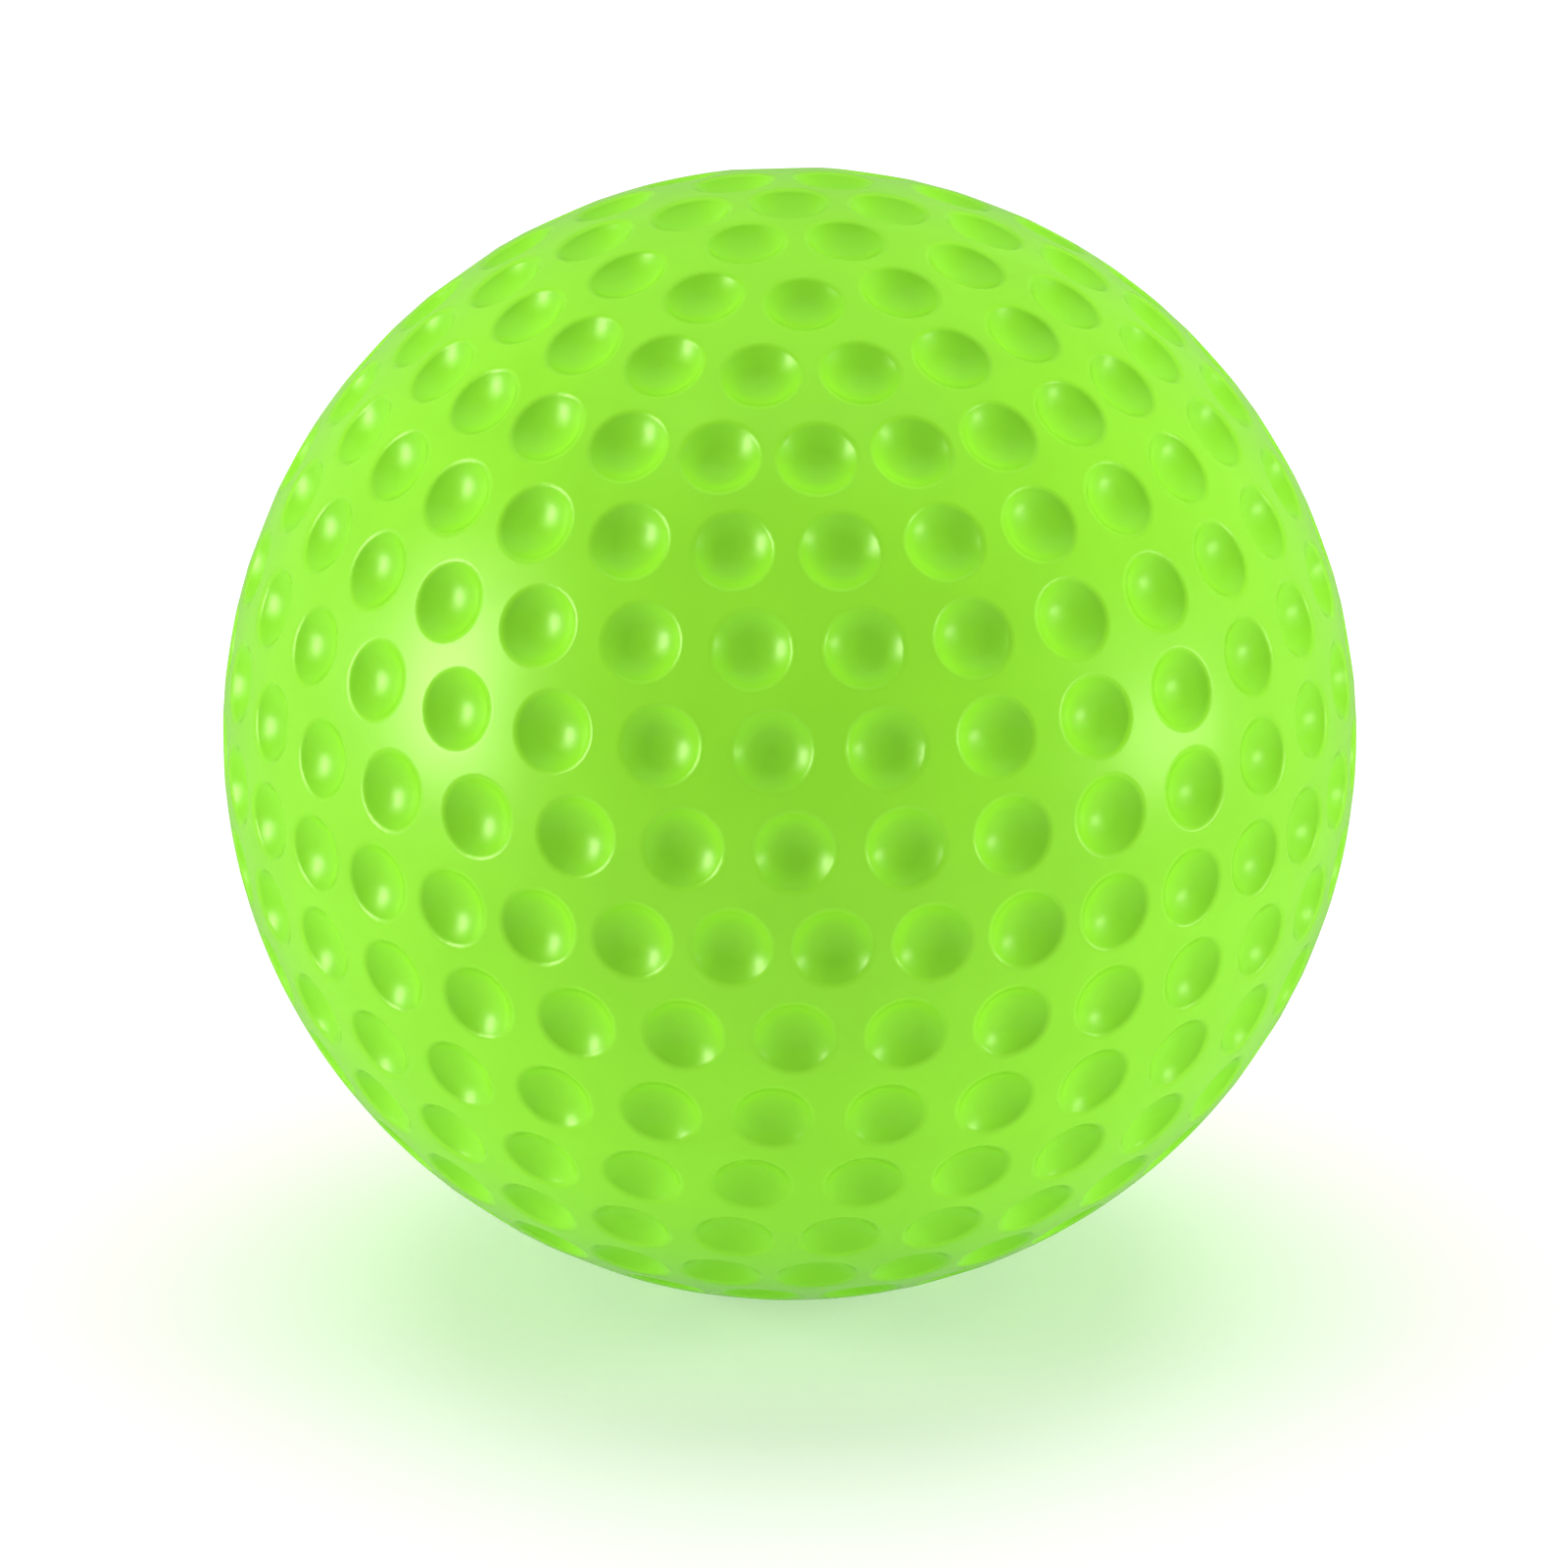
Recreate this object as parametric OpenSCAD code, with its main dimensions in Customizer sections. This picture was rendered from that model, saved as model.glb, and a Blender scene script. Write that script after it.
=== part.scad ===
// A hollow rubber ball with dimples all over. Two moulded half shells are
// cemented rim to rim at the equator and hold gas under pressure.
// The origin is the centre of the ball and +Z is the moulding axis.

/* [Ball] */
// Diameter over the lands between the dimples
ball_d = 57.15; // [56:0.05:73]
// Thickness of the rubber from the cavity to the lands
wall = 4; // [3:0.1:6]

/* [Seam] */
// Thickness of the cement between the two ground rims
cement_t = 0.2; // [0.1:0.05:0.4]
// Height of the bead that the cement leaves inside the cavity
bead_h = 0.5; // [0.3:0.05:0.8]

/* [Dimples] */
// Width of a dimple across its lip
dimple_d = 4; // [3:0.05:4.5]
// Depth of a dimple's floor below the lands
dimple_depth = 1; // [0.5:0.05:1.2]

/* [Hidden] */

rubber_colour = [0.55, 0.88, 0.2];
cement_colour = [0.5, 0.8, 0.2];

ball_r = ball_d / 2;
cavity_r = ball_r - wall;

// The dimples stand in rings round the moulding axis. Ring 0 is the single
// dimple at the pole, and the last ring lies on the equator.
last_ring = 9;
ring_step = 90 / last_ring;
// The first rings round the pole each gain this many dimples on the one before
pole_rings = 4;
pole_gain = 6;
// The rings from there to the equator gain fewer
flank_gain = 2;
equator_count = 36;

function ring_count(ring) =
    ring == 0 ? 1
    : ring <= pole_rings ? pole_gain * ring
    : ring < last_ring ? pole_gain * pole_rings + flank_gain * (ring - pole_rings)
    : equator_count;

// A dimple is cut by a ball that passes through its lip circle and its floor
lip_r = dimple_d / 2;
lip_to_centre = sqrt(ball_r * ball_r - lip_r * lip_r);
floor_to_centre = ball_r - dimple_depth;
bowl_h = lip_to_centre - floor_to_centre;
bowl_r = (lip_r * lip_r + bowl_h * bowl_h) / (2 * bowl_h);

ball_facets = 180;
bowl_facets = 48;
bead_facets = 32;

// One dimple's cutting ball, on the meridian that its turn gives
module dimple_cutter(ring, turn) {
    rotate([0, ring * ring_step, turn])
        translate([0, 0, floor_to_centre + bowl_r])
            sphere(r = bowl_r, $fn = bowl_facets);
}

// Every ring has a dimple on the +X meridian and spaces the others evenly
module ring_of_cutters(ring) {
    count = ring_count(ring);
    for (i = [0:count - 1])
        dimple_cutter(ring, 360 * i / count);
}

// The half of the ball above the cement, hollow and with its dimples
module half_shell() {
    difference() {
        intersection() {
            sphere(r = ball_r, $fn = ball_facets);
            translate([0, 0, cement_t / 2])
                cylinder(r = ball_d, h = ball_d, $fn = ball_facets);
        }
        sphere(r = cavity_r, $fn = ball_facets);
        for (ring = [0:last_ring])
            ring_of_cutters(ring);
    }
}

module upper_half_shell() {
    color(rubber_colour) half_shell();
}

module lower_half_shell() {
    color(rubber_colour) mirror([0, 0, 1]) half_shell();
}

// The cement fills the joint from the dimpled outside to the cavity
module seam_layer() {
    difference() {
        intersection() {
            sphere(r = ball_r, $fn = ball_facets);
            cylinder(r = ball_d, h = cement_t, center = true, $fn = ball_facets);
        }
        sphere(r = cavity_r, $fn = ball_facets);
        ring_of_cutters(last_ring);
    }
}

// The part of the bead's round section that stands inside the cavity
module seam_bead() {
    intersection() {
        sphere(r = cavity_r, $fn = ball_facets);
        rotate_extrude($fn = ball_facets)
            translate([cavity_r, 0])
                circle(r = bead_h, $fn = bead_facets);
    }
}

module seam_cement() {
    color(cement_colour) {
        seam_layer();
        seam_bead();
    }
}

upper_half_shell();
lower_half_shell();
seam_cement();
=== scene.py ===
"""The looks of a hollow rubber ball with dimples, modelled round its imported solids."""

import math
from typing import NamedTuple

import bmesh
import bpy
import numpy as np
from bpy.props import FloatProperty, FloatVectorProperty, IntProperty, PointerProperty
from bpy.types import Operator, Panel, PropertyGroup
from mathutils import Matrix, Vector
from mathutils.geometry import delaunay_2d_cdt


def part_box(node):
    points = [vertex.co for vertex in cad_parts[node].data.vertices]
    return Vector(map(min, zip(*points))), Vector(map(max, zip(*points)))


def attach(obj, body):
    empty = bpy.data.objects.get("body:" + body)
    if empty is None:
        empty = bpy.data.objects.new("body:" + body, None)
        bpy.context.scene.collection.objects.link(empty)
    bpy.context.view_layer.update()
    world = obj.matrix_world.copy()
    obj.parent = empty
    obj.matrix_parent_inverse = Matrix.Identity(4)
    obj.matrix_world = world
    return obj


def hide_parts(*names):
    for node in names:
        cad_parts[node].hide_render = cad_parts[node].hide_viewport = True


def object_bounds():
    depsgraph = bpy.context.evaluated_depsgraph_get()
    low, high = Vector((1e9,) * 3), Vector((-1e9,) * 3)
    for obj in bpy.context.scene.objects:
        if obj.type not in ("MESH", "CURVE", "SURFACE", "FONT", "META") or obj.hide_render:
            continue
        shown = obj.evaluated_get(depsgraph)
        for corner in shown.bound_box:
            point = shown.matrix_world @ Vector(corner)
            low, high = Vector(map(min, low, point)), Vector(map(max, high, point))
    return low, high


bl_info = {
    "name": "Dimpled Rubber Ball",
    "version": (1, 0, 0),
    "blender": (4, 5, 0),
    "location": "View3D > Sidebar > Ball",
    "description": "Models a hollow dimpled ball, the cement in its seam and its studio",
    "category": "Object",
}

MM = 0.001
FULL_TURN = 2 * math.pi
# Points no farther apart than this are one point
SAME_POINT = 1e-9
# How far the ends of an edge may lie off the height of a cut
ON_LEVEL = 1e-3 * MM
# How far the corners of a ground rim may lie off its height
LEVEL_FACE = 1e-4 * MM
SMOOTH_BELOW = math.radians(30)
POINTS_AT_ONCE = 20000

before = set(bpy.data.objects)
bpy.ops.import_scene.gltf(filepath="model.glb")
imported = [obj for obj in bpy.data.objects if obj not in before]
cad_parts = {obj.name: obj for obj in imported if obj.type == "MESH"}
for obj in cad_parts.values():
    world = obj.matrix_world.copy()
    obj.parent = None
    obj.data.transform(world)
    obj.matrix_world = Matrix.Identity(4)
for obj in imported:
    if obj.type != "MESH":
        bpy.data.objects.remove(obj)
CAD_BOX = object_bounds()


def distances(node):
    """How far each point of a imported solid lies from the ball's centre."""
    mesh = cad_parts[node].data
    points = np.empty(3 * len(mesh.vertices), np.float32)
    mesh.vertices.foreach_get("co", points)
    return np.linalg.norm(points.reshape(-1, 3), axis=1)


SHELL_DISTANCES = distances("upper_half_shell")
RIM_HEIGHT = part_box("upper_half_shell")[0].z
BEAD_INNER = distances("seam_cement").min()


class BallShape(PropertyGroup):
    """Sizes of the moulded ball, the first ones read from its solids."""

    ball_radius: FloatProperty(
        name="Ball radius",
        description="From the centre to the lands between the dimples",
        default=float(SHELL_DISTANCES.max()),
        subtype="DISTANCE",
        unit="LENGTH",
    )
    cavity_radius: FloatProperty(
        name="Cavity radius",
        description="From the centre to the inner face of the rubber wall",
        default=float(SHELL_DISTANCES.min()),
        subtype="DISTANCE",
        unit="LENGTH",
    )
    rim_height: FloatProperty(
        name="Rim height",
        description="From the equator to the ground rim of a half, half the cement's thickness",
        default=RIM_HEIGHT,
        subtype="DISTANCE",
        unit="LENGTH",
    )
    bead_height: FloatProperty(
        name="Bead height",
        description="How far the cement's bead stands into the cavity",
        default=float(SHELL_DISTANCES.min() - BEAD_INNER),
        subtype="DISTANCE",
        unit="LENGTH",
    )
    dimple_width: FloatProperty(
        name="Dimple width",
        description="Across a dimple's lip, before the lip is rounded",
        default=4 * MM,
        subtype="DISTANCE",
        unit="LENGTH",
    )
    dimple_depth: FloatProperty(
        name="Dimple depth",
        description="From the lands to a dimple's floor",
        default=1 * MM,
        subtype="DISTANCE",
        unit="LENGTH",
    )
    lip_round: FloatProperty(
        name="Lip round",
        description="Radius of the round on a dimple's lip",
        default=0.45 * MM,
        subtype="DISTANCE",
        unit="LENGTH",
    )
    last_ring: IntProperty(
        name="Last ring",
        description="Number of the dimple ring on the equator, counted from 0 at the pole",
        default=9,
        min=2,
    )
    pole_rings: IntProperty(
        name="Pole rings",
        description="Rings round the pole that each gain the pole gain",
        default=4,
        min=1,
    )
    pole_gain: IntProperty(
        name="Pole gain",
        description="Dimples that each pole ring gains on the one before",
        default=6,
        min=3,
    )
    flank_gain: IntProperty(
        name="Flank gain",
        description="Dimples that each later ring gains on the one before",
        default=2,
        min=0,
    )
    equator_count: IntProperty(
        name="Equator count",
        description="Dimples in the ring on the equator",
        default=36,
        min=3,
    )
    rim_sides: IntProperty(
        name="Rim sides",
        description="Sides of the circle round a dimple",
        default=24,
        min=12,
    )
    lip_steps: IntProperty(
        name="Lip steps",
        description="Rows of faces over the round of the lip",
        default=1,
        min=1,
    )
    bowl_steps: IntProperty(
        name="Bowl steps",
        description="Rows of faces from the lip to the floor",
        default=2,
        min=2,
    )
    cavity_sides: IntProperty(
        name="Cavity sides",
        description="Sides of the cavity and of the bead round the moulding axis",
        default=96,
        min=32,
    )
    bead_steps: IntProperty(
        name="Bead steps",
        description="Rows of faces over the round of the bead",
        default=12,
        min=4,
    )


class BallFinish(PropertyGroup):
    """Colour and gloss of the rubber and its cement."""

    rubber_colour: FloatVectorProperty(
        name="Rubber colour",
        description="Colour of the rubber in plain light",
        default=(0.3, 0.82, 0.03),
        subtype="COLOR",
        min=0,
        max=1,
    )
    roughness: FloatProperty(
        name="Roughness",
        description="Roughness of the moulded skin, 0 for a mirror",
        default=0.26,
        subtype="FACTOR",
        min=0,
        max=1,
    )
    skin_ior: FloatProperty(
        name="Skin IOR",
        description="Index of refraction of the skin's gloss",
        default=1.35,
        min=1,
    )
    mottle_scale: FloatProperty(
        name="Mottle scale",
        description="Spots of deeper and paler colour in a metre",
        default=180,
    )
    mottle_change: FloatProperty(
        name="Mottle change",
        description="Share by which the spots are deeper or paler than the rubber's colour",
        default=0.03,
        subtype="FACTOR",
        min=0,
        max=1,
    )
    wear_scale: FloatProperty(
        name="Wear scale",
        description="Spots of finer and rougher gloss in a metre",
        default=420,
    )
    wear_change: FloatProperty(
        name="Wear change",
        description="How much the spots' roughness differs from the skin's",
        default=0.02,
        min=0,
    )
    grain_scale: FloatProperty(
        name="Grain scale",
        description="Grains of the mould's fine skin in a metre",
        default=2600,
    )
    grain_height: FloatProperty(
        name="Grain height",
        description="Height of the grains",
        default=0.02 * MM,
        subtype="DISTANCE",
        unit="LENGTH",
    )
    grain_strength: FloatProperty(
        name="Grain strength",
        description="How much of the grains' height shows",
        default=0.04,
        subtype="FACTOR",
        min=0,
        max=1,
    )


class Studio(PropertyGroup):
    """Camera, floor and lamps. Lamps stand round the ball as the camera sees it."""

    camera_side: FloatProperty(
        name="Camera side",
        description="Angle round the moulding axis from the camera to the meridian on +X",
        default=math.radians(34.26),
        subtype="ANGLE",
        unit="ROTATION",
    )
    camera_elevation: FloatProperty(
        name="Camera elevation",
        description="Height of the camera above the equator's plane",
        default=math.radians(21.8),
        subtype="ANGLE",
        unit="ROTATION",
    )
    camera_reach: FloatProperty(
        name="Camera reach",
        description="Distance of the camera from the ball's centre, in ball radii",
        default=1 / 0.03,
    )
    key_strength: FloatProperty(
        name="Key strength",
        description="Brightness of the tall soft box on the left, seen in the gloss",
        default=14,
        min=0,
    )
    scrim_strength: FloatProperty(
        name="Scrim strength",
        description="Brightness of the scrim round the soft box, seen in the gloss",
        default=3.8,
        min=0,
    )
    spark_strength: FloatProperty(
        name="Spark strength",
        description="Brightness of the small lamp on the right, seen in the gloss",
        default=7.5,
        min=0,
    )
    highlight_colour: FloatVectorProperty(
        name="Highlight colour",
        description="Warm white of the three lamps that are seen in the gloss",
        default=(1, 0.86, 0.72),
        subtype="COLOR",
        min=0,
        max=1,
    )
    left_strength: FloatProperty(
        name="Left strength",
        description="Brightness of the wide panel on the left",
        default=4.8,
        min=0,
    )
    right_strength: FloatProperty(
        name="Right strength",
        description="Brightness of the wide panel on the right",
        default=4.7,
        min=0,
    )
    top_strength: FloatProperty(
        name="Top strength",
        description="Brightness of the wide panel above",
        default=2.1,
        min=0,
    )
    room_strength: FloatProperty(
        name="Room strength",
        description="Brightness of the room's even light",
        default=0.33,
        min=0,
    )
    glow_strength: FloatProperty(
        name="Glow strength",
        description="Light that the floor gives of its own, as a light table does",
        default=0.28,
        min=0,
    )
    mirror_strength: FloatProperty(
        name="Mirror strength",
        description="Brightness of the room and the floor in reflections",
        default=0.36,
        min=0,
    )


PICTURE_SIDE = 1600
OUTLINE_RADIUS_PX = 578.4
OUTLINE_CENTRE_PX = (805.8, 748.4)
SENSOR_WIDTH_MM = 36
NEAREST_SEEN = 0.01
FARTHEST_SEEN = 20
FLOOR_SIDE = 6
FLOOR_GREY = 0.86
WHITE = (1, 1, 1, 1)


class SoftPanel(NamedTuple):
    """Where a panel hangs, as the camera sees it (right, up, back), and its size."""

    towards: tuple
    distance: float
    width: float
    height: float


GLOSS_PANELS = {
    "key": SoftPanel((-0.942, 0.125, 0.311), 0.65, 0.2, 0.3),
    "scrim": SoftPanel((-0.942, 0.125, 0.311), 0.65, 0.4, 0.58),
    "spark": SoftPanel((0.988, -0.03, 0.149), 0.5, 0.2, 0.13),
}
FILL_PANELS = {
    "left": SoftPanel((-0.99, 0.02, 0.08), 0.9, 0.8, 0.6),
    "right": SoftPanel((0.99, 0.02, 0.08), 0.9, 0.8, 0.6),
    "top": SoftPanel((0, 0.95, 0.1), 0.9, 1, 1),
}


class DimpleSection:
    """Half of the section through a dimple: a land, a rounded lip and a round bowl.

    A point is (across, up): its distance from the dimple's axis and its height
    along it from the ball's centre.
    """

    def __init__(self, shape):
        self.ball_radius = shape.ball_radius
        self.lip_round = shape.lip_round
        half_width = shape.dimple_width / 2
        self.floor = shape.ball_radius - shape.dimple_depth
        bowl_height = math.sqrt(shape.ball_radius**2 - half_width**2) - self.floor
        self.bowl_radius = (half_width**2 + bowl_height**2) / (2 * bowl_height)
        self.bowl_centre = self.floor + self.bowl_radius
        # The lip's round touches the ball from inside and the bowl from outside
        to_ball = shape.ball_radius - shape.lip_round
        to_bowl = self.bowl_radius + shape.lip_round
        up = (to_ball**2 - to_bowl**2 + self.bowl_centre**2) / (2 * self.bowl_centre)
        self.lip_centre = (math.sqrt(to_ball**2 - up**2), up)
        self.land_tilt = math.atan2(*self.lip_centre)
        self.wall_tilt = math.atan2(self.lip_centre[0], self.bowl_centre - up)

    def rim(self):
        """The circle where the land ends."""
        return (
            self.ball_radius * math.sin(self.land_tilt),
            self.ball_radius * math.cos(self.land_tilt),
        )

    def rows(self, lip_steps, bowl_steps):
        """The circles from the rim down to the last one above the floor."""
        across, up = self.lip_centre
        points = [self.rim()]
        for step in range(1, lip_steps + 1):
            tilt = self.land_tilt - (self.land_tilt + self.wall_tilt) * step / lip_steps
            points.append(
                (
                    across + self.lip_round * math.sin(tilt),
                    up + self.lip_round * math.cos(tilt),
                )
            )
        for step in range(1, bowl_steps):
            tilt = self.wall_tilt * (1 - step / bowl_steps)
            points.append(
                (
                    self.bowl_radius * math.sin(tilt),
                    self.bowl_centre - self.bowl_radius * math.cos(tilt),
                )
            )
        return points

    def normals(self, across, up):
        """Unit normals (across, up) of the true surface at arrays of points."""
        beyond_lip = np.arctan2(across, up) > self.land_tilt
        from_bowl = self.bowl_centre - up
        in_bowl = np.arctan2(across, from_bowl) < self.wall_tilt
        in_bowl &= ~beyond_lip
        on_lip = ~(beyond_lip | in_bowl)
        out = np.stack([across, up], axis=1)
        out[in_bowl] = np.stack([-across, from_bowl], axis=1)[in_bowl]
        out[on_lip] = (out - np.array(self.lip_centre))[on_lip]
        return out / np.linalg.norm(out, axis=1)[:, None]


def dimples_in_ring(shape, ring):
    """How many dimples stand in a ring, counted from 0 at the pole."""
    if ring == 0:
        return 1
    if ring <= shape.pole_rings:
        return shape.pole_gain * ring
    if ring < shape.last_ring:
        return shape.pole_gain * shape.pole_rings + shape.flank_gain * (
            ring - shape.pole_rings
        )
    return shape.equator_count


def all_rings(shape):
    """(angle from the upper pole, number of dimples) of each ring, pole to pole."""
    step = math.pi / 2 / shape.last_ring
    rings = []
    for place in range(2 * shape.last_ring + 1):
        ring = min(place, 2 * shape.last_ring - place)
        rings.append((place * step, dimples_in_ring(shape, ring)))
    return rings


def dimple_axes(shape):
    """Unit directions from the ball's centre to every dimple."""
    axes = []
    for colatitude, count in all_rings(shape):
        turns = np.arange(count) * FULL_TURN / count
        axes.append(
            np.stack(
                [
                    math.sin(colatitude) * np.cos(turns),
                    math.sin(colatitude) * np.sin(turns),
                    np.full(count, math.cos(colatitude)),
                ],
                axis=1,
            )
        )
    return np.concatenate(axes)


def open_piece(name, mesh=None):
    """Adds an object with a mesh of its own, alone selected and in edit mode."""
    bpy.ops.object.select_all(action="DESELECT")
    piece = bpy.data.objects.new(name, mesh or bpy.data.meshes.new(name))
    piece.data.name = name
    bpy.context.scene.collection.objects.link(piece)
    bpy.context.view_layer.objects.active = piece
    piece.select_set(True)
    bpy.ops.object.mode_set(mode="EDIT")
    bpy.ops.mesh.select_mode(type="VERT")
    bpy.ops.mesh.select_all(action="DESELECT")
    return piece


def draw_rims(shape, section):
    """Adds a flat disc at every dimple, a ring at a time, by spinning the first one."""
    radius, height = section.rim()
    for colatitude, count in all_rings(shape):
        bpy.ops.mesh.select_all(action="DESELECT")
        bpy.ops.mesh.primitive_circle_add(
            vertices=shape.rim_sides,
            radius=radius,
            fill_type="NGON",
            location=(height * math.sin(colatitude), 0, height * math.cos(colatitude)),
            rotation=(0, colatitude, 0),
        )
        if count > 1:
            bpy.ops.mesh.spin(
                steps=count - 1,
                dupli=True,
                angle=FULL_TURN * (count - 1) / count,
                center=(0, 0, 0),
                axis=(0, 0, 1),
            )


def fill_lands(piece):
    """Fills the lands with a net between the discs.

    The net is drawn flat, seen from the lower pole, where every rim stays a
    circle, and so the net hugs the ball.
    """
    mesh = bmesh.from_edit_mesh(piece.data)
    mesh.verts.index_update()
    mesh.verts.ensure_lookup_table()
    disc_of = {v.index: face.index for face in mesh.faces for v in face.verts}
    flat = []
    for vertex in mesh.verts:
        towards = vertex.co.normalized()
        flat.append(towards.xy / (1 + towards.z))
    rims = [[v.index for v in edge.verts] for edge in mesh.edges]
    # 0 asks for every face of the net
    _, _, faces, sources, _, _ = delaunay_2d_cdt(flat, rims, [], 0, SAME_POINT, True)
    for corners in faces:
        ids = [sources[corner][0] for corner in corners]
        if len({disc_of[i] for i in ids}) > 1:
            mesh.faces.new([mesh.verts[i] for i in ids])
    bmesh.update_edit_mesh(piece.data)
    bpy.ops.mesh.select_all(action="SELECT")
    bpy.ops.mesh.normals_make_consistent(inside=False)


def sink_dimples(shape, section):
    """Insets every disc row by row down the lip and the bowl, and closes the floor."""
    bpy.ops.mesh.select_mode(type="FACE")
    bpy.ops.mesh.select_all(action="DESELECT")
    bpy.ops.mesh.select_face_by_sides(number=shape.rim_sides, extend=False)
    rows = section.rows(shape.lip_steps, shape.bowl_steps)
    flat_share = math.cos(math.pi / shape.rim_sides)
    for (wide, high), (narrow, low) in zip(rows, rows[1:]):
        bpy.ops.mesh.inset(
            use_individual=True,
            use_even_offset=True,
            thickness=(wide - narrow) * flat_share,
            depth=low - high,
        )
    bpy.ops.mesh.poke(offset=section.floor - rows[-1][1], use_relative_offset=False)


def cut_at(height, keep_above):
    """Cuts the selection level at a height and keeps one side of it."""
    bpy.ops.mesh.bisect(
        plane_co=(0, 0, height),
        plane_no=(0, 0, 1),
        clear_inner=keep_above,
        clear_outer=not keep_above,
        threshold=SAME_POINT,
    )


def close_level(piece, height):
    """Fills the level face between the open loops at a height."""
    bpy.ops.mesh.select_mode(type="EDGE")
    bpy.ops.mesh.select_all(action="DESELECT")
    mesh = bmesh.from_edit_mesh(piece.data)
    for edge in mesh.edges:
        level = all(abs(v.co.z - height) < ON_LEVEL for v in edge.verts)
        edge.select = edge.is_boundary and level
    mesh.select_flush_mode()
    bmesh.update_edit_mesh(piece.data)
    bpy.ops.mesh.fill(use_beauty=True)


def nearest_axes(points, axes):
    """For each point, the direction of the dimple that it lies closest to."""
    found = np.empty(len(points), int)
    for start in range(0, len(points), POINTS_AT_ONCE):
        part = slice(start, start + POINTS_AT_ONCE)
        found[part] = np.argmax(points[part] @ axes.T, axis=1)
    return axes[found]


def skin_normals(shape, points):
    """Normals of the true moulded skin at points on it."""
    axes = nearest_axes(points, dimple_axes(shape))
    up = np.sum(points * axes, axis=1)
    sideways = points - up[:, None] * axes
    across = np.linalg.norm(sideways, axis=1)
    lean, rise = DimpleSection(shape).normals(across, up).T
    outward = sideways / np.maximum(across, SAME_POINT)[:, None]
    return lean[:, None] * outward + rise[:, None] * axes


def corner_facts(mesh):
    """Points, each corner's point and face, and each face's lowest and highest corner."""
    points = np.empty(3 * len(mesh.vertices), np.float32)
    mesh.vertices.foreach_get("co", points)
    points = points.reshape(-1, 3).astype(float)
    corners = np.empty(len(mesh.loops), np.int32)
    mesh.loops.foreach_get("vertex_index", corners)
    starts = np.empty(len(mesh.polygons), np.int32)
    mesh.polygons.foreach_get("loop_start", starts)
    sides = np.diff(np.append(starts, len(corners)))
    faces = np.repeat(np.arange(len(starts)), sides)
    heights = points[corners, 2]
    spans = (np.minimum.reduceat(heights, starts), np.maximum.reduceat(heights, starts))
    return points, corners, faces, spans


def shade_as_moulded(shape, piece):
    """Gives the outer skin the true surface's normals, so that no cut shows on it."""
    bpy.ops.object.shade_smooth_by_angle(angle=SMOOTH_BELOW)
    mesh = piece.data
    points, corners, faces, (lowest, highest) = corner_facts(mesh)
    at_rim = abs(abs(highest) - shape.rim_height) < LEVEL_FACE
    level = (highest - lowest < LEVEL_FACE) & at_rim
    # No dimple reaches twice its depth, so anything deeper is the cavity or the bead
    far = np.linalg.norm(points, axis=1) > shape.ball_radius - 2 * shape.dimple_depth
    skin = far[corners] & ~level[faces]
    # A corner with no length keeps the normal that it has
    normals = np.zeros((len(corners), 3))
    used = np.unique(corners[skin])
    true_normals = np.zeros_like(points)
    true_normals[used] = skin_normals(shape, points[used])
    normals[skin] = true_normals[corners[skin]]
    mesh.normals_split_custom_set(normals.tolist())


def mould_skin(shape):
    """The whole dimpled outside of the ball, as one closed surface."""
    section = DimpleSection(shape)
    skin = open_piece("moulded_skin")
    draw_rims(shape, section)
    fill_lands(skin)
    sink_dimples(shape, section)
    bpy.ops.object.mode_set(mode="OBJECT")


def join_skin(piece, floor=None, ceiling=None):
    """Joins a copy of the skin to the piece, cut off level below and above."""
    bpy.ops.object.mode_set(mode="OBJECT")
    open_piece(piece.name + "_skin", bpy.data.objects["moulded_skin"].data.copy())
    for height, keep_above in ((floor, True), (ceiling, False)):
        if height is not None:
            bpy.ops.mesh.select_all(action="SELECT")
            cut_at(height, keep_above)
    bpy.ops.object.mode_set(mode="OBJECT")
    piece.select_set(True)
    bpy.context.view_layer.objects.active = piece
    bpy.ops.object.join()
    bpy.ops.object.mode_set(mode="EDIT")


def finish_piece(shape, piece, node, material):
    """Shades the piece, gives it its finish and puts it in its node's place."""
    mesh = bmesh.from_edit_mesh(piece.data)
    if any(edge.is_boundary for edge in mesh.edges):
        raise RuntimeError(piece.name + " isn't closed")
    bpy.ops.mesh.select_all(action="SELECT")
    bpy.ops.mesh.normals_make_consistent(inside=False)
    bpy.ops.object.mode_set(mode="OBJECT")
    shade_as_moulded(shape, piece)
    piece.data.materials.clear()
    piece.data.materials.append(material)
    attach(piece, "root")
    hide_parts(node)


def model_half(shape, name, side):
    """One half shell, above the cement for side 1 and below it for side -1."""
    rim = side * shape.rim_height
    piece = open_piece(name)
    bpy.ops.mesh.primitive_uv_sphere_add(
        segments=shape.cavity_sides,
        ring_count=shape.cavity_sides // 2,
        radius=shape.cavity_radius,
    )
    cut_at(rim, keep_above=side > 0)
    if side > 0:
        join_skin(piece, floor=rim)
    else:
        join_skin(piece, ceiling=rim)
    close_level(piece, rim)
    return piece


def bead_section(shape):
    """Points (outwards, up) of the cement's inner face, from one rim to the other."""
    cavity = shape.cavity_radius
    height = shape.bead_height
    steps = shape.bead_steps
    # Where the bead's round leaves the cavity's wall
    top_out = cavity - height**2 / (2 * cavity)
    top_up = math.sqrt(cavity**2 - top_out**2)
    start = math.atan2(top_up, cavity - top_out)
    points = [(math.sqrt(cavity**2 - shape.rim_height**2), shape.rim_height)]
    for step in range(steps + 1):
        turn = start * (1 - 2 * step / steps)
        points.append((cavity - height * math.cos(turn), height * math.sin(turn)))
    points.append((points[0][0], -shape.rim_height))
    return points


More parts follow.
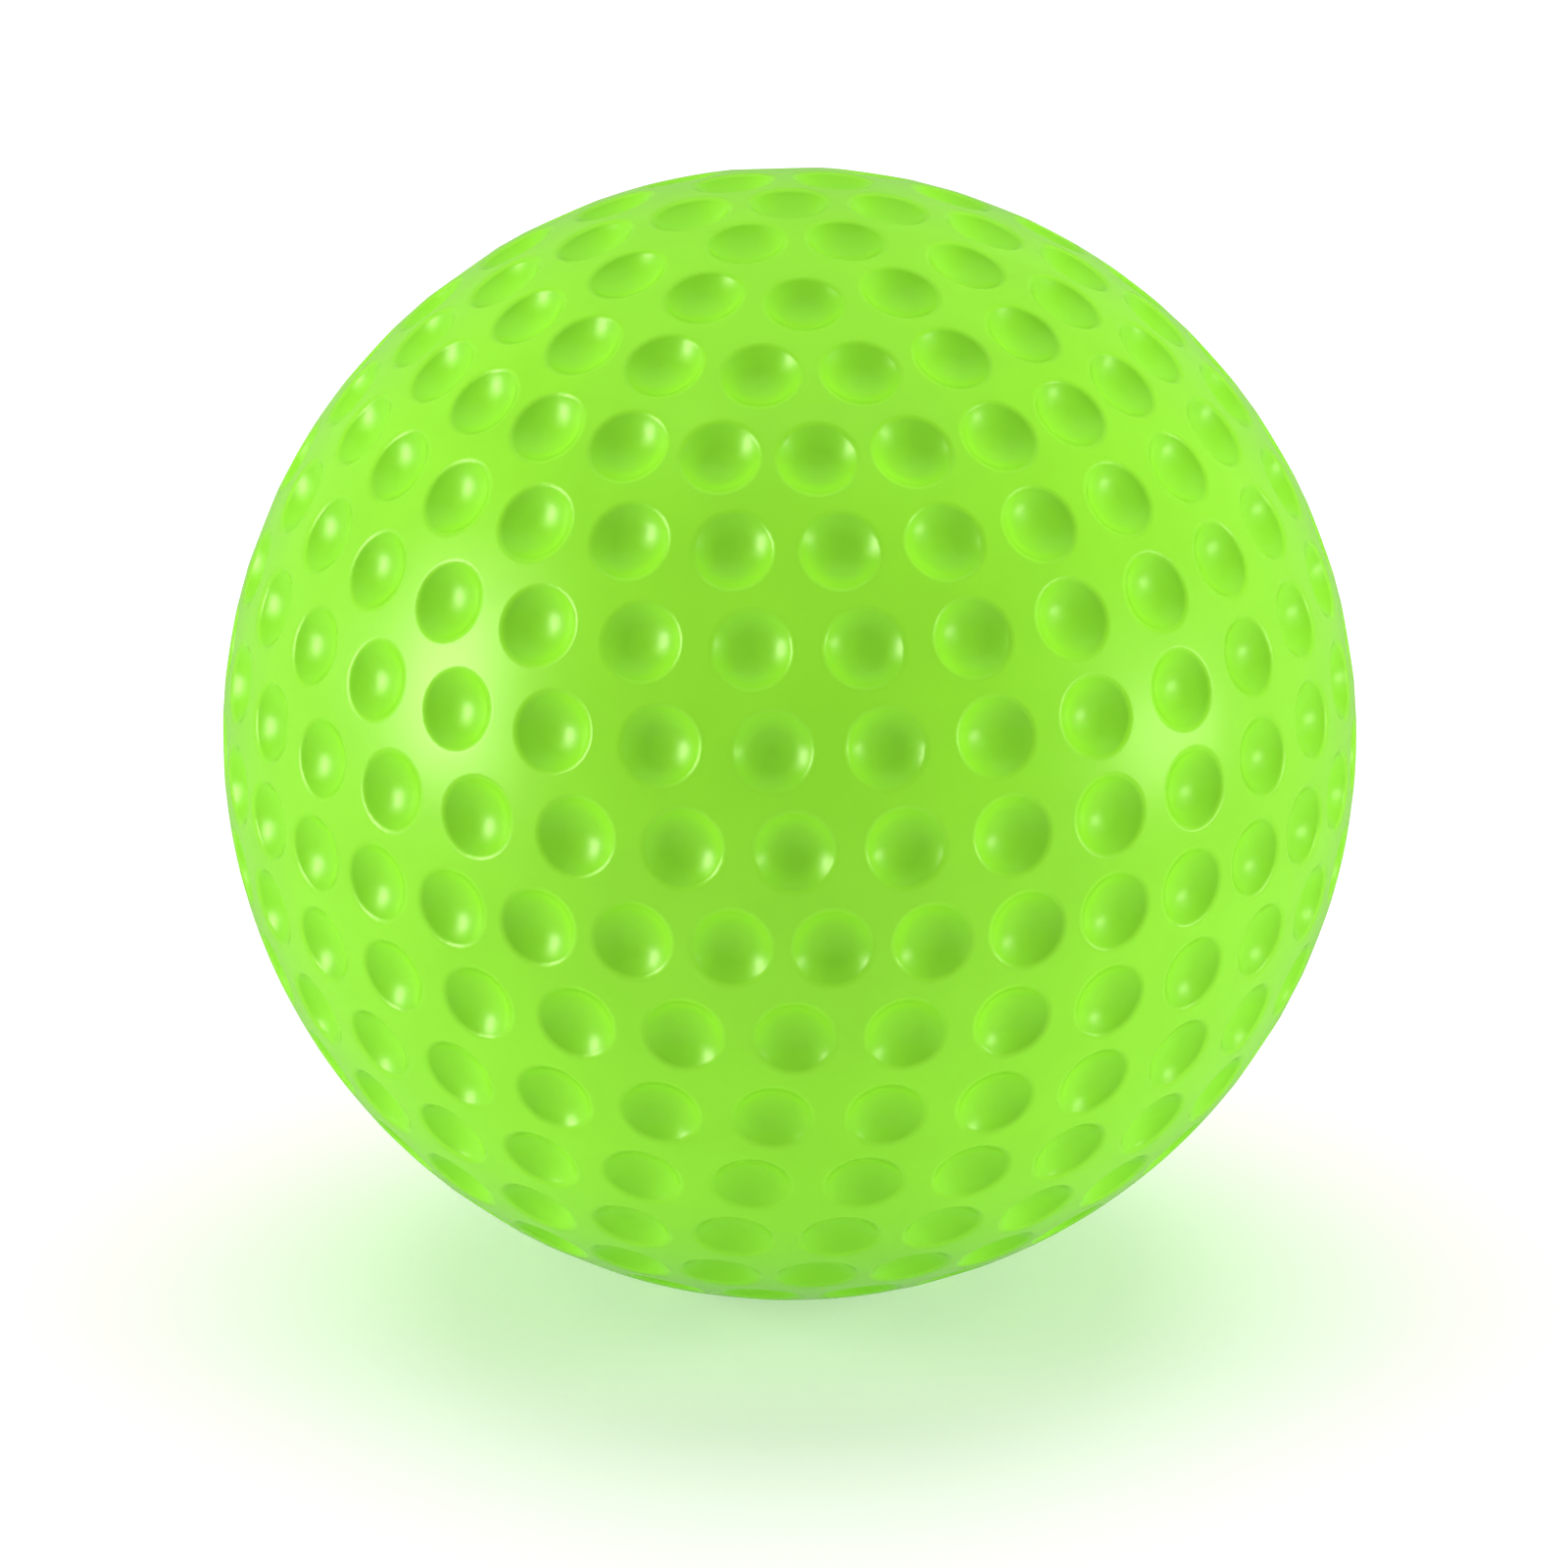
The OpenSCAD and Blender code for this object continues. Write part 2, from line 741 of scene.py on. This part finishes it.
def model_cement(shape, name):
    """The cement between the rims, flush with the dimples, with its bead inside."""
    piece = open_piece(name)
    mesh = bmesh.from_edit_mesh(piece.data)
    line = [mesh.verts.new((out, 0, up)) for out, up in bead_section(shape)]
    for first, second in zip(line, line[1:]):
        mesh.edges.new((first, second))
    for vertex in line:
        vertex.select = True
    mesh.select_flush_mode()
    bmesh.update_edit_mesh(piece.data)
    bpy.ops.mesh.spin(
        steps=shape.cavity_sides,
        angle=FULL_TURN,
        use_auto_merge=True,
        center=(0, 0, 0),
        axis=(0, 0, 1),
    )
    join_skin(piece, floor=-shape.rim_height, ceiling=shape.rim_height)
    close_level(piece, shape.rim_height)
    close_level(piece, -shape.rim_height)
    return piece


def add_node(tree, kind, **inputs):
    """Adds a shader node and sets the named inputs of it."""
    node = tree.nodes.new(kind)
    for name, value in inputs.items():
        node.inputs[name.replace("_", " ")].default_value = value
    return node


def rubber_material(name, finish):
    """Glossy moulded rubber: a faint mottle, uneven gloss and the mould's fine skin."""
    material = bpy.data.materials.new(name)
    material.use_nodes = True
    tree = material.node_tree
    shader = tree.nodes["Principled BSDF"]
    shader.inputs["IOR"].default_value = finish.skin_ior
    place = tree.nodes.new("ShaderNodeTexCoord")

    mottle = add_node(
        tree, "ShaderNodeTexNoise", Scale=finish.mottle_scale, Detail=3, Roughness=0.55
    )
    tree.links.new(place.outputs["Object"], mottle.inputs["Vector"])
    tint = tree.nodes.new("ShaderNodeValToRGB")
    deep, pale = tint.color_ramp.elements
    # Most of the noise lies between these two
    deep.position = 0.3
    pale.position = 0.7
    colour = np.array(finish.rubber_colour)
    deep.color = (*(colour * (1 - finish.mottle_change)), 1)
    pale.color = (*np.minimum(colour * (1 + finish.mottle_change), 1), 1)
    tree.links.new(mottle.outputs["Fac"], tint.inputs["Fac"])
    tree.links.new(tint.outputs["Color"], shader.inputs["Base Color"])

    wear = add_node(tree, "ShaderNodeTexNoise", Scale=finish.wear_scale, Detail=2)
    tree.links.new(place.outputs["Object"], wear.inputs["Vector"])
    gloss = add_node(
        tree,
        "ShaderNodeMapRange",
        To_Min=finish.roughness - finish.wear_change,
        To_Max=finish.roughness + finish.wear_change,
    )
    tree.links.new(wear.outputs["Fac"], gloss.inputs["Value"])
    tree.links.new(gloss.outputs["Result"], shader.inputs["Roughness"])

    grain = add_node(tree, "ShaderNodeTexNoise", Scale=finish.grain_scale, Detail=2)
    tree.links.new(place.outputs["Object"], grain.inputs["Vector"])
    bump = add_node(
        tree,
        "ShaderNodeBump",
        Strength=finish.grain_strength,
        Distance=finish.grain_height,
    )
    tree.links.new(grain.outputs["Fac"], bump.inputs["Height"])
    tree.links.new(bump.outputs["Normal"], shader.inputs["Normal"])
    return material


def floor_material(studio):
    """Pale floor that glows a little, keeps shadows and mirrors as the room does."""
    material = bpy.data.materials.new("Pale floor")
    material.use_nodes = True
    tree = material.node_tree
    tree.nodes.clear()
    grey = (FLOOR_GREY, FLOOR_GREY, FLOOR_GREY, 1)
    matt = add_node(tree, "ShaderNodeBsdfDiffuse", Color=grey)
    glow = add_node(tree, "ShaderNodeEmission", Color=WHITE, Strength=studio.glow_strength)
    lit = tree.nodes.new("ShaderNodeAddShader")
    tree.links.new(matt.outputs[0], lit.inputs[0])
    tree.links.new(glow.outputs[0], lit.inputs[1])
    mirrored = add_node(
        tree, "ShaderNodeEmission", Color=WHITE, Strength=studio.mirror_strength
    )
    path = tree.nodes.new("ShaderNodeLightPath")
    choice = tree.nodes.new("ShaderNodeMixShader")
    tree.links.new(path.outputs["Is Glossy Ray"], choice.inputs[0])
    tree.links.new(lit.outputs[0], choice.inputs[1])
    tree.links.new(mirrored.outputs[0], choice.inputs[2])
    output = tree.nodes.new("ShaderNodeOutputMaterial")
    tree.links.new(choice.outputs[0], output.inputs["Surface"])
    return material


def light_room(studio):
    """Even room light, white to the camera and through glass, pale in reflections."""
    world = bpy.data.worlds.new("Room")
    bpy.context.scene.world = world
    world.use_nodes = True
    tree = world.node_tree
    background = tree.nodes["Background"]
    background.inputs["Color"].default_value = WHITE
    path = tree.nodes.new("ShaderNodeLightPath")
    level = None
    for ray, seen in (
        ("Is Glossy Ray", studio.mirror_strength),
        ("Is Transmission Ray", 1),
        ("Is Camera Ray", 1),
    ):
        choice = tree.nodes.new("ShaderNodeMix")
        tree.links.new(path.outputs[ray], choice.inputs["Factor"])
        choice.inputs["A"].default_value = studio.room_strength
        if level:
            tree.links.new(level, choice.inputs["A"])
        choice.inputs["B"].default_value = seen
        level = choice.outputs["Result"]
    tree.links.new(level, background.inputs["Strength"])


def camera_axes(studio):
    """Unit vectors to the camera's right, up and back, in the ball's frame."""
    side = -studio.camera_side
    rise = studio.camera_elevation
    right = Vector((-math.sin(side), math.cos(side), 0))
    back = Vector(
        (
            math.cos(side) * math.cos(rise),
            math.sin(side) * math.cos(rise),
            math.sin(rise),
        )
    )
    return right, back.cross(right), back


def place_camera(studio, ball_radius):
    """Puts the camera at the photographed angle and frames the ball as there."""
    _, _, back = camera_axes(studio)
    camera = bpy.data.objects.new("camera", bpy.data.cameras.new("camera"))
    bpy.context.scene.collection.objects.link(camera)
    camera.location = back * studio.camera_reach * ball_radius
    camera.rotation_euler = back.to_track_quat("Z", "Y").to_euler()
    outline = math.tan(math.asin(1 / studio.camera_reach))
    lens = camera.data
    lens.sensor_width = SENSOR_WIDTH_MM
    lens.lens = OUTLINE_RADIUS_PX / outline * SENSOR_WIDTH_MM / PICTURE_SIDE
    across, down = OUTLINE_CENTRE_PX
    lens.shift_x = (PICTURE_SIDE / 2 - across) / PICTURE_SIDE
    lens.shift_y = (down - PICTURE_SIDE / 2) / PICTURE_SIDE
    lens.clip_start = NEAREST_SEEN
    lens.clip_end = FARTHEST_SEEN
    bpy.context.scene.camera = camera


def hang_panel(studio, name, panel):
    """Hangs a soft panel that faces the ball, upright to the camera."""
    right, up, back = camera_axes(studio)
    sideways, upwards, backwards = panel.towards
    direction = (right * sideways + up * upwards + back * backwards).normalized()
    across = up.cross(direction).normalized()
    turn = Matrix((across, direction.cross(across), direction)).transposed()
    brightness = getattr(studio, name + "_strength")
    light = bpy.data.lights.new(name, "AREA")
    light.shape = "RECTANGLE"
    light.size = panel.width
    light.size_y = panel.height
    light.energy = brightness * math.pi * panel.width * panel.height
    lamp = bpy.data.objects.new(name, light)
    bpy.context.scene.collection.objects.link(lamp)
    lamp.location = direction * panel.distance
    lamp.rotation_euler = turn.to_euler()
    lamp.visible_camera = False
    return lamp


class BALL_OT_mould_skin(Operator):
    """Moulds the dimpled skin that the half shells and the cement are cut from"""

    bl_idname = "ball.mould_skin"
    bl_label = "Mould Skin"

    def execute(self, context):
        mould_skin(context.scene.ball_shape)
        return {"FINISHED"}


class BALL_OT_half_shells(Operator):
    """Models the two rubber half shells, with their ground rims and the cavity"""

    bl_idname = "ball.half_shells"
    bl_label = "Half Shells"

    def execute(self, context):
        shape = context.scene.ball_shape
        rubber = rubber_material("Lime rubber", context.scene.ball_finish)
        for name, side in (("upper", 1), ("lower", -1)):
            piece = model_half(shape, name + "_half", side)
            node = name + "_half_shell"
            finish_piece(shape, piece, node, rubber)
        return {"FINISHED"}


class BALL_OT_seam_cement(Operator):
    """Models the cement between the rims, with the bead that it leaves inside"""

    bl_idname = "ball.seam_cement"
    bl_label = "Seam Cement"

    def execute(self, context):
        shape = context.scene.ball_shape
        cement = rubber_material("Lime rubber cement", context.scene.ball_finish)
        piece = model_cement(shape, "seam")
        finish_piece(shape, piece, "seam_cement", cement)
        return {"FINISHED"}


class BALL_OT_clear_skin(Operator):
    """Removes the skin once every piece has been cut from it"""

    bl_idname = "ball.clear_skin"
    bl_label = "Clear Skin"

    def execute(self, context):
        skin = bpy.data.objects["moulded_skin"]
        mesh = skin.data
        bpy.data.objects.remove(skin)
        bpy.data.meshes.remove(mesh)
        return {"FINISHED"}


class BALL_OT_stage(Operator):
    """Sets the floor, the lamps and the camera round the ball"""

    bl_idname = "ball.stage"
    bl_label = "Stage"

    def execute(self, context):
        studio = context.scene.ball_studio
        context.scene.view_settings.view_transform = "Standard"
        place_camera(studio, context.scene.ball_shape.ball_radius)
        light_room(studio)
        bpy.ops.object.select_all(action="DESELECT")
        bpy.ops.mesh.primitive_plane_add(size=FLOOR_SIDE, location=(0, 0, CAD_BOX[0].z))
        floor = context.object
        floor.name = "floor"
        bpy.ops.object.transform_apply()
        floor.data.materials.append(floor_material(studio))
        for name, panel in GLOSS_PANELS.items():
            lamp = hang_panel(studio, name, panel)
            lamp.visible_diffuse = False
            lamp.data.color = studio.highlight_colour
        for name, panel in FILL_PANELS.items():
            lamp = hang_panel(studio, name, panel)
            lamp.visible_glossy = False
        return {"FINISHED"}


class BALL_PT_panel(Panel):
    """Lists the steps that model the ball, in order"""

    bl_idname = "BALL_PT_panel"
    bl_label = "Dimpled Ball"
    bl_space_type = "VIEW_3D"
    bl_region_type = "UI"
    bl_category = "Ball"

    def draw(self, context):
        for step in STEPS:
            self.layout.operator(step.bl_idname)
        for settings in (
            context.scene.ball_shape,
            context.scene.ball_finish,
            context.scene.ball_studio,
        ):
            box = self.layout.box()
            for name in settings.__annotations__:
                box.prop(settings, name)


STEPS = (
    BALL_OT_mould_skin,
    BALL_OT_half_shells,
    BALL_OT_seam_cement,
    BALL_OT_clear_skin,
    BALL_OT_stage,
)
SETTINGS = {
    "ball_shape": BallShape,
    "ball_finish": BallFinish,
    "ball_studio": Studio,
}


def register():
    for cls in (*SETTINGS.values(), *STEPS, BALL_PT_panel):
        bpy.utils.register_class(cls)
    for name, cls in SETTINGS.items():
        setattr(bpy.types.Scene, name, PointerProperty(type=cls))


def unregister():
    for name in SETTINGS:
        delattr(bpy.types.Scene, name)
    for cls in reversed((*SETTINGS.values(), *STEPS, BALL_PT_panel)):
        bpy.utils.unregister_class(cls)


def main():
    register()
    bpy.ops.ball.mould_skin()
    bpy.ops.ball.half_shells()
    bpy.ops.ball.seam_cement()
    bpy.ops.ball.clear_skin()
    bpy.ops.ball.stage()


if __name__ == "__main__":
    main()
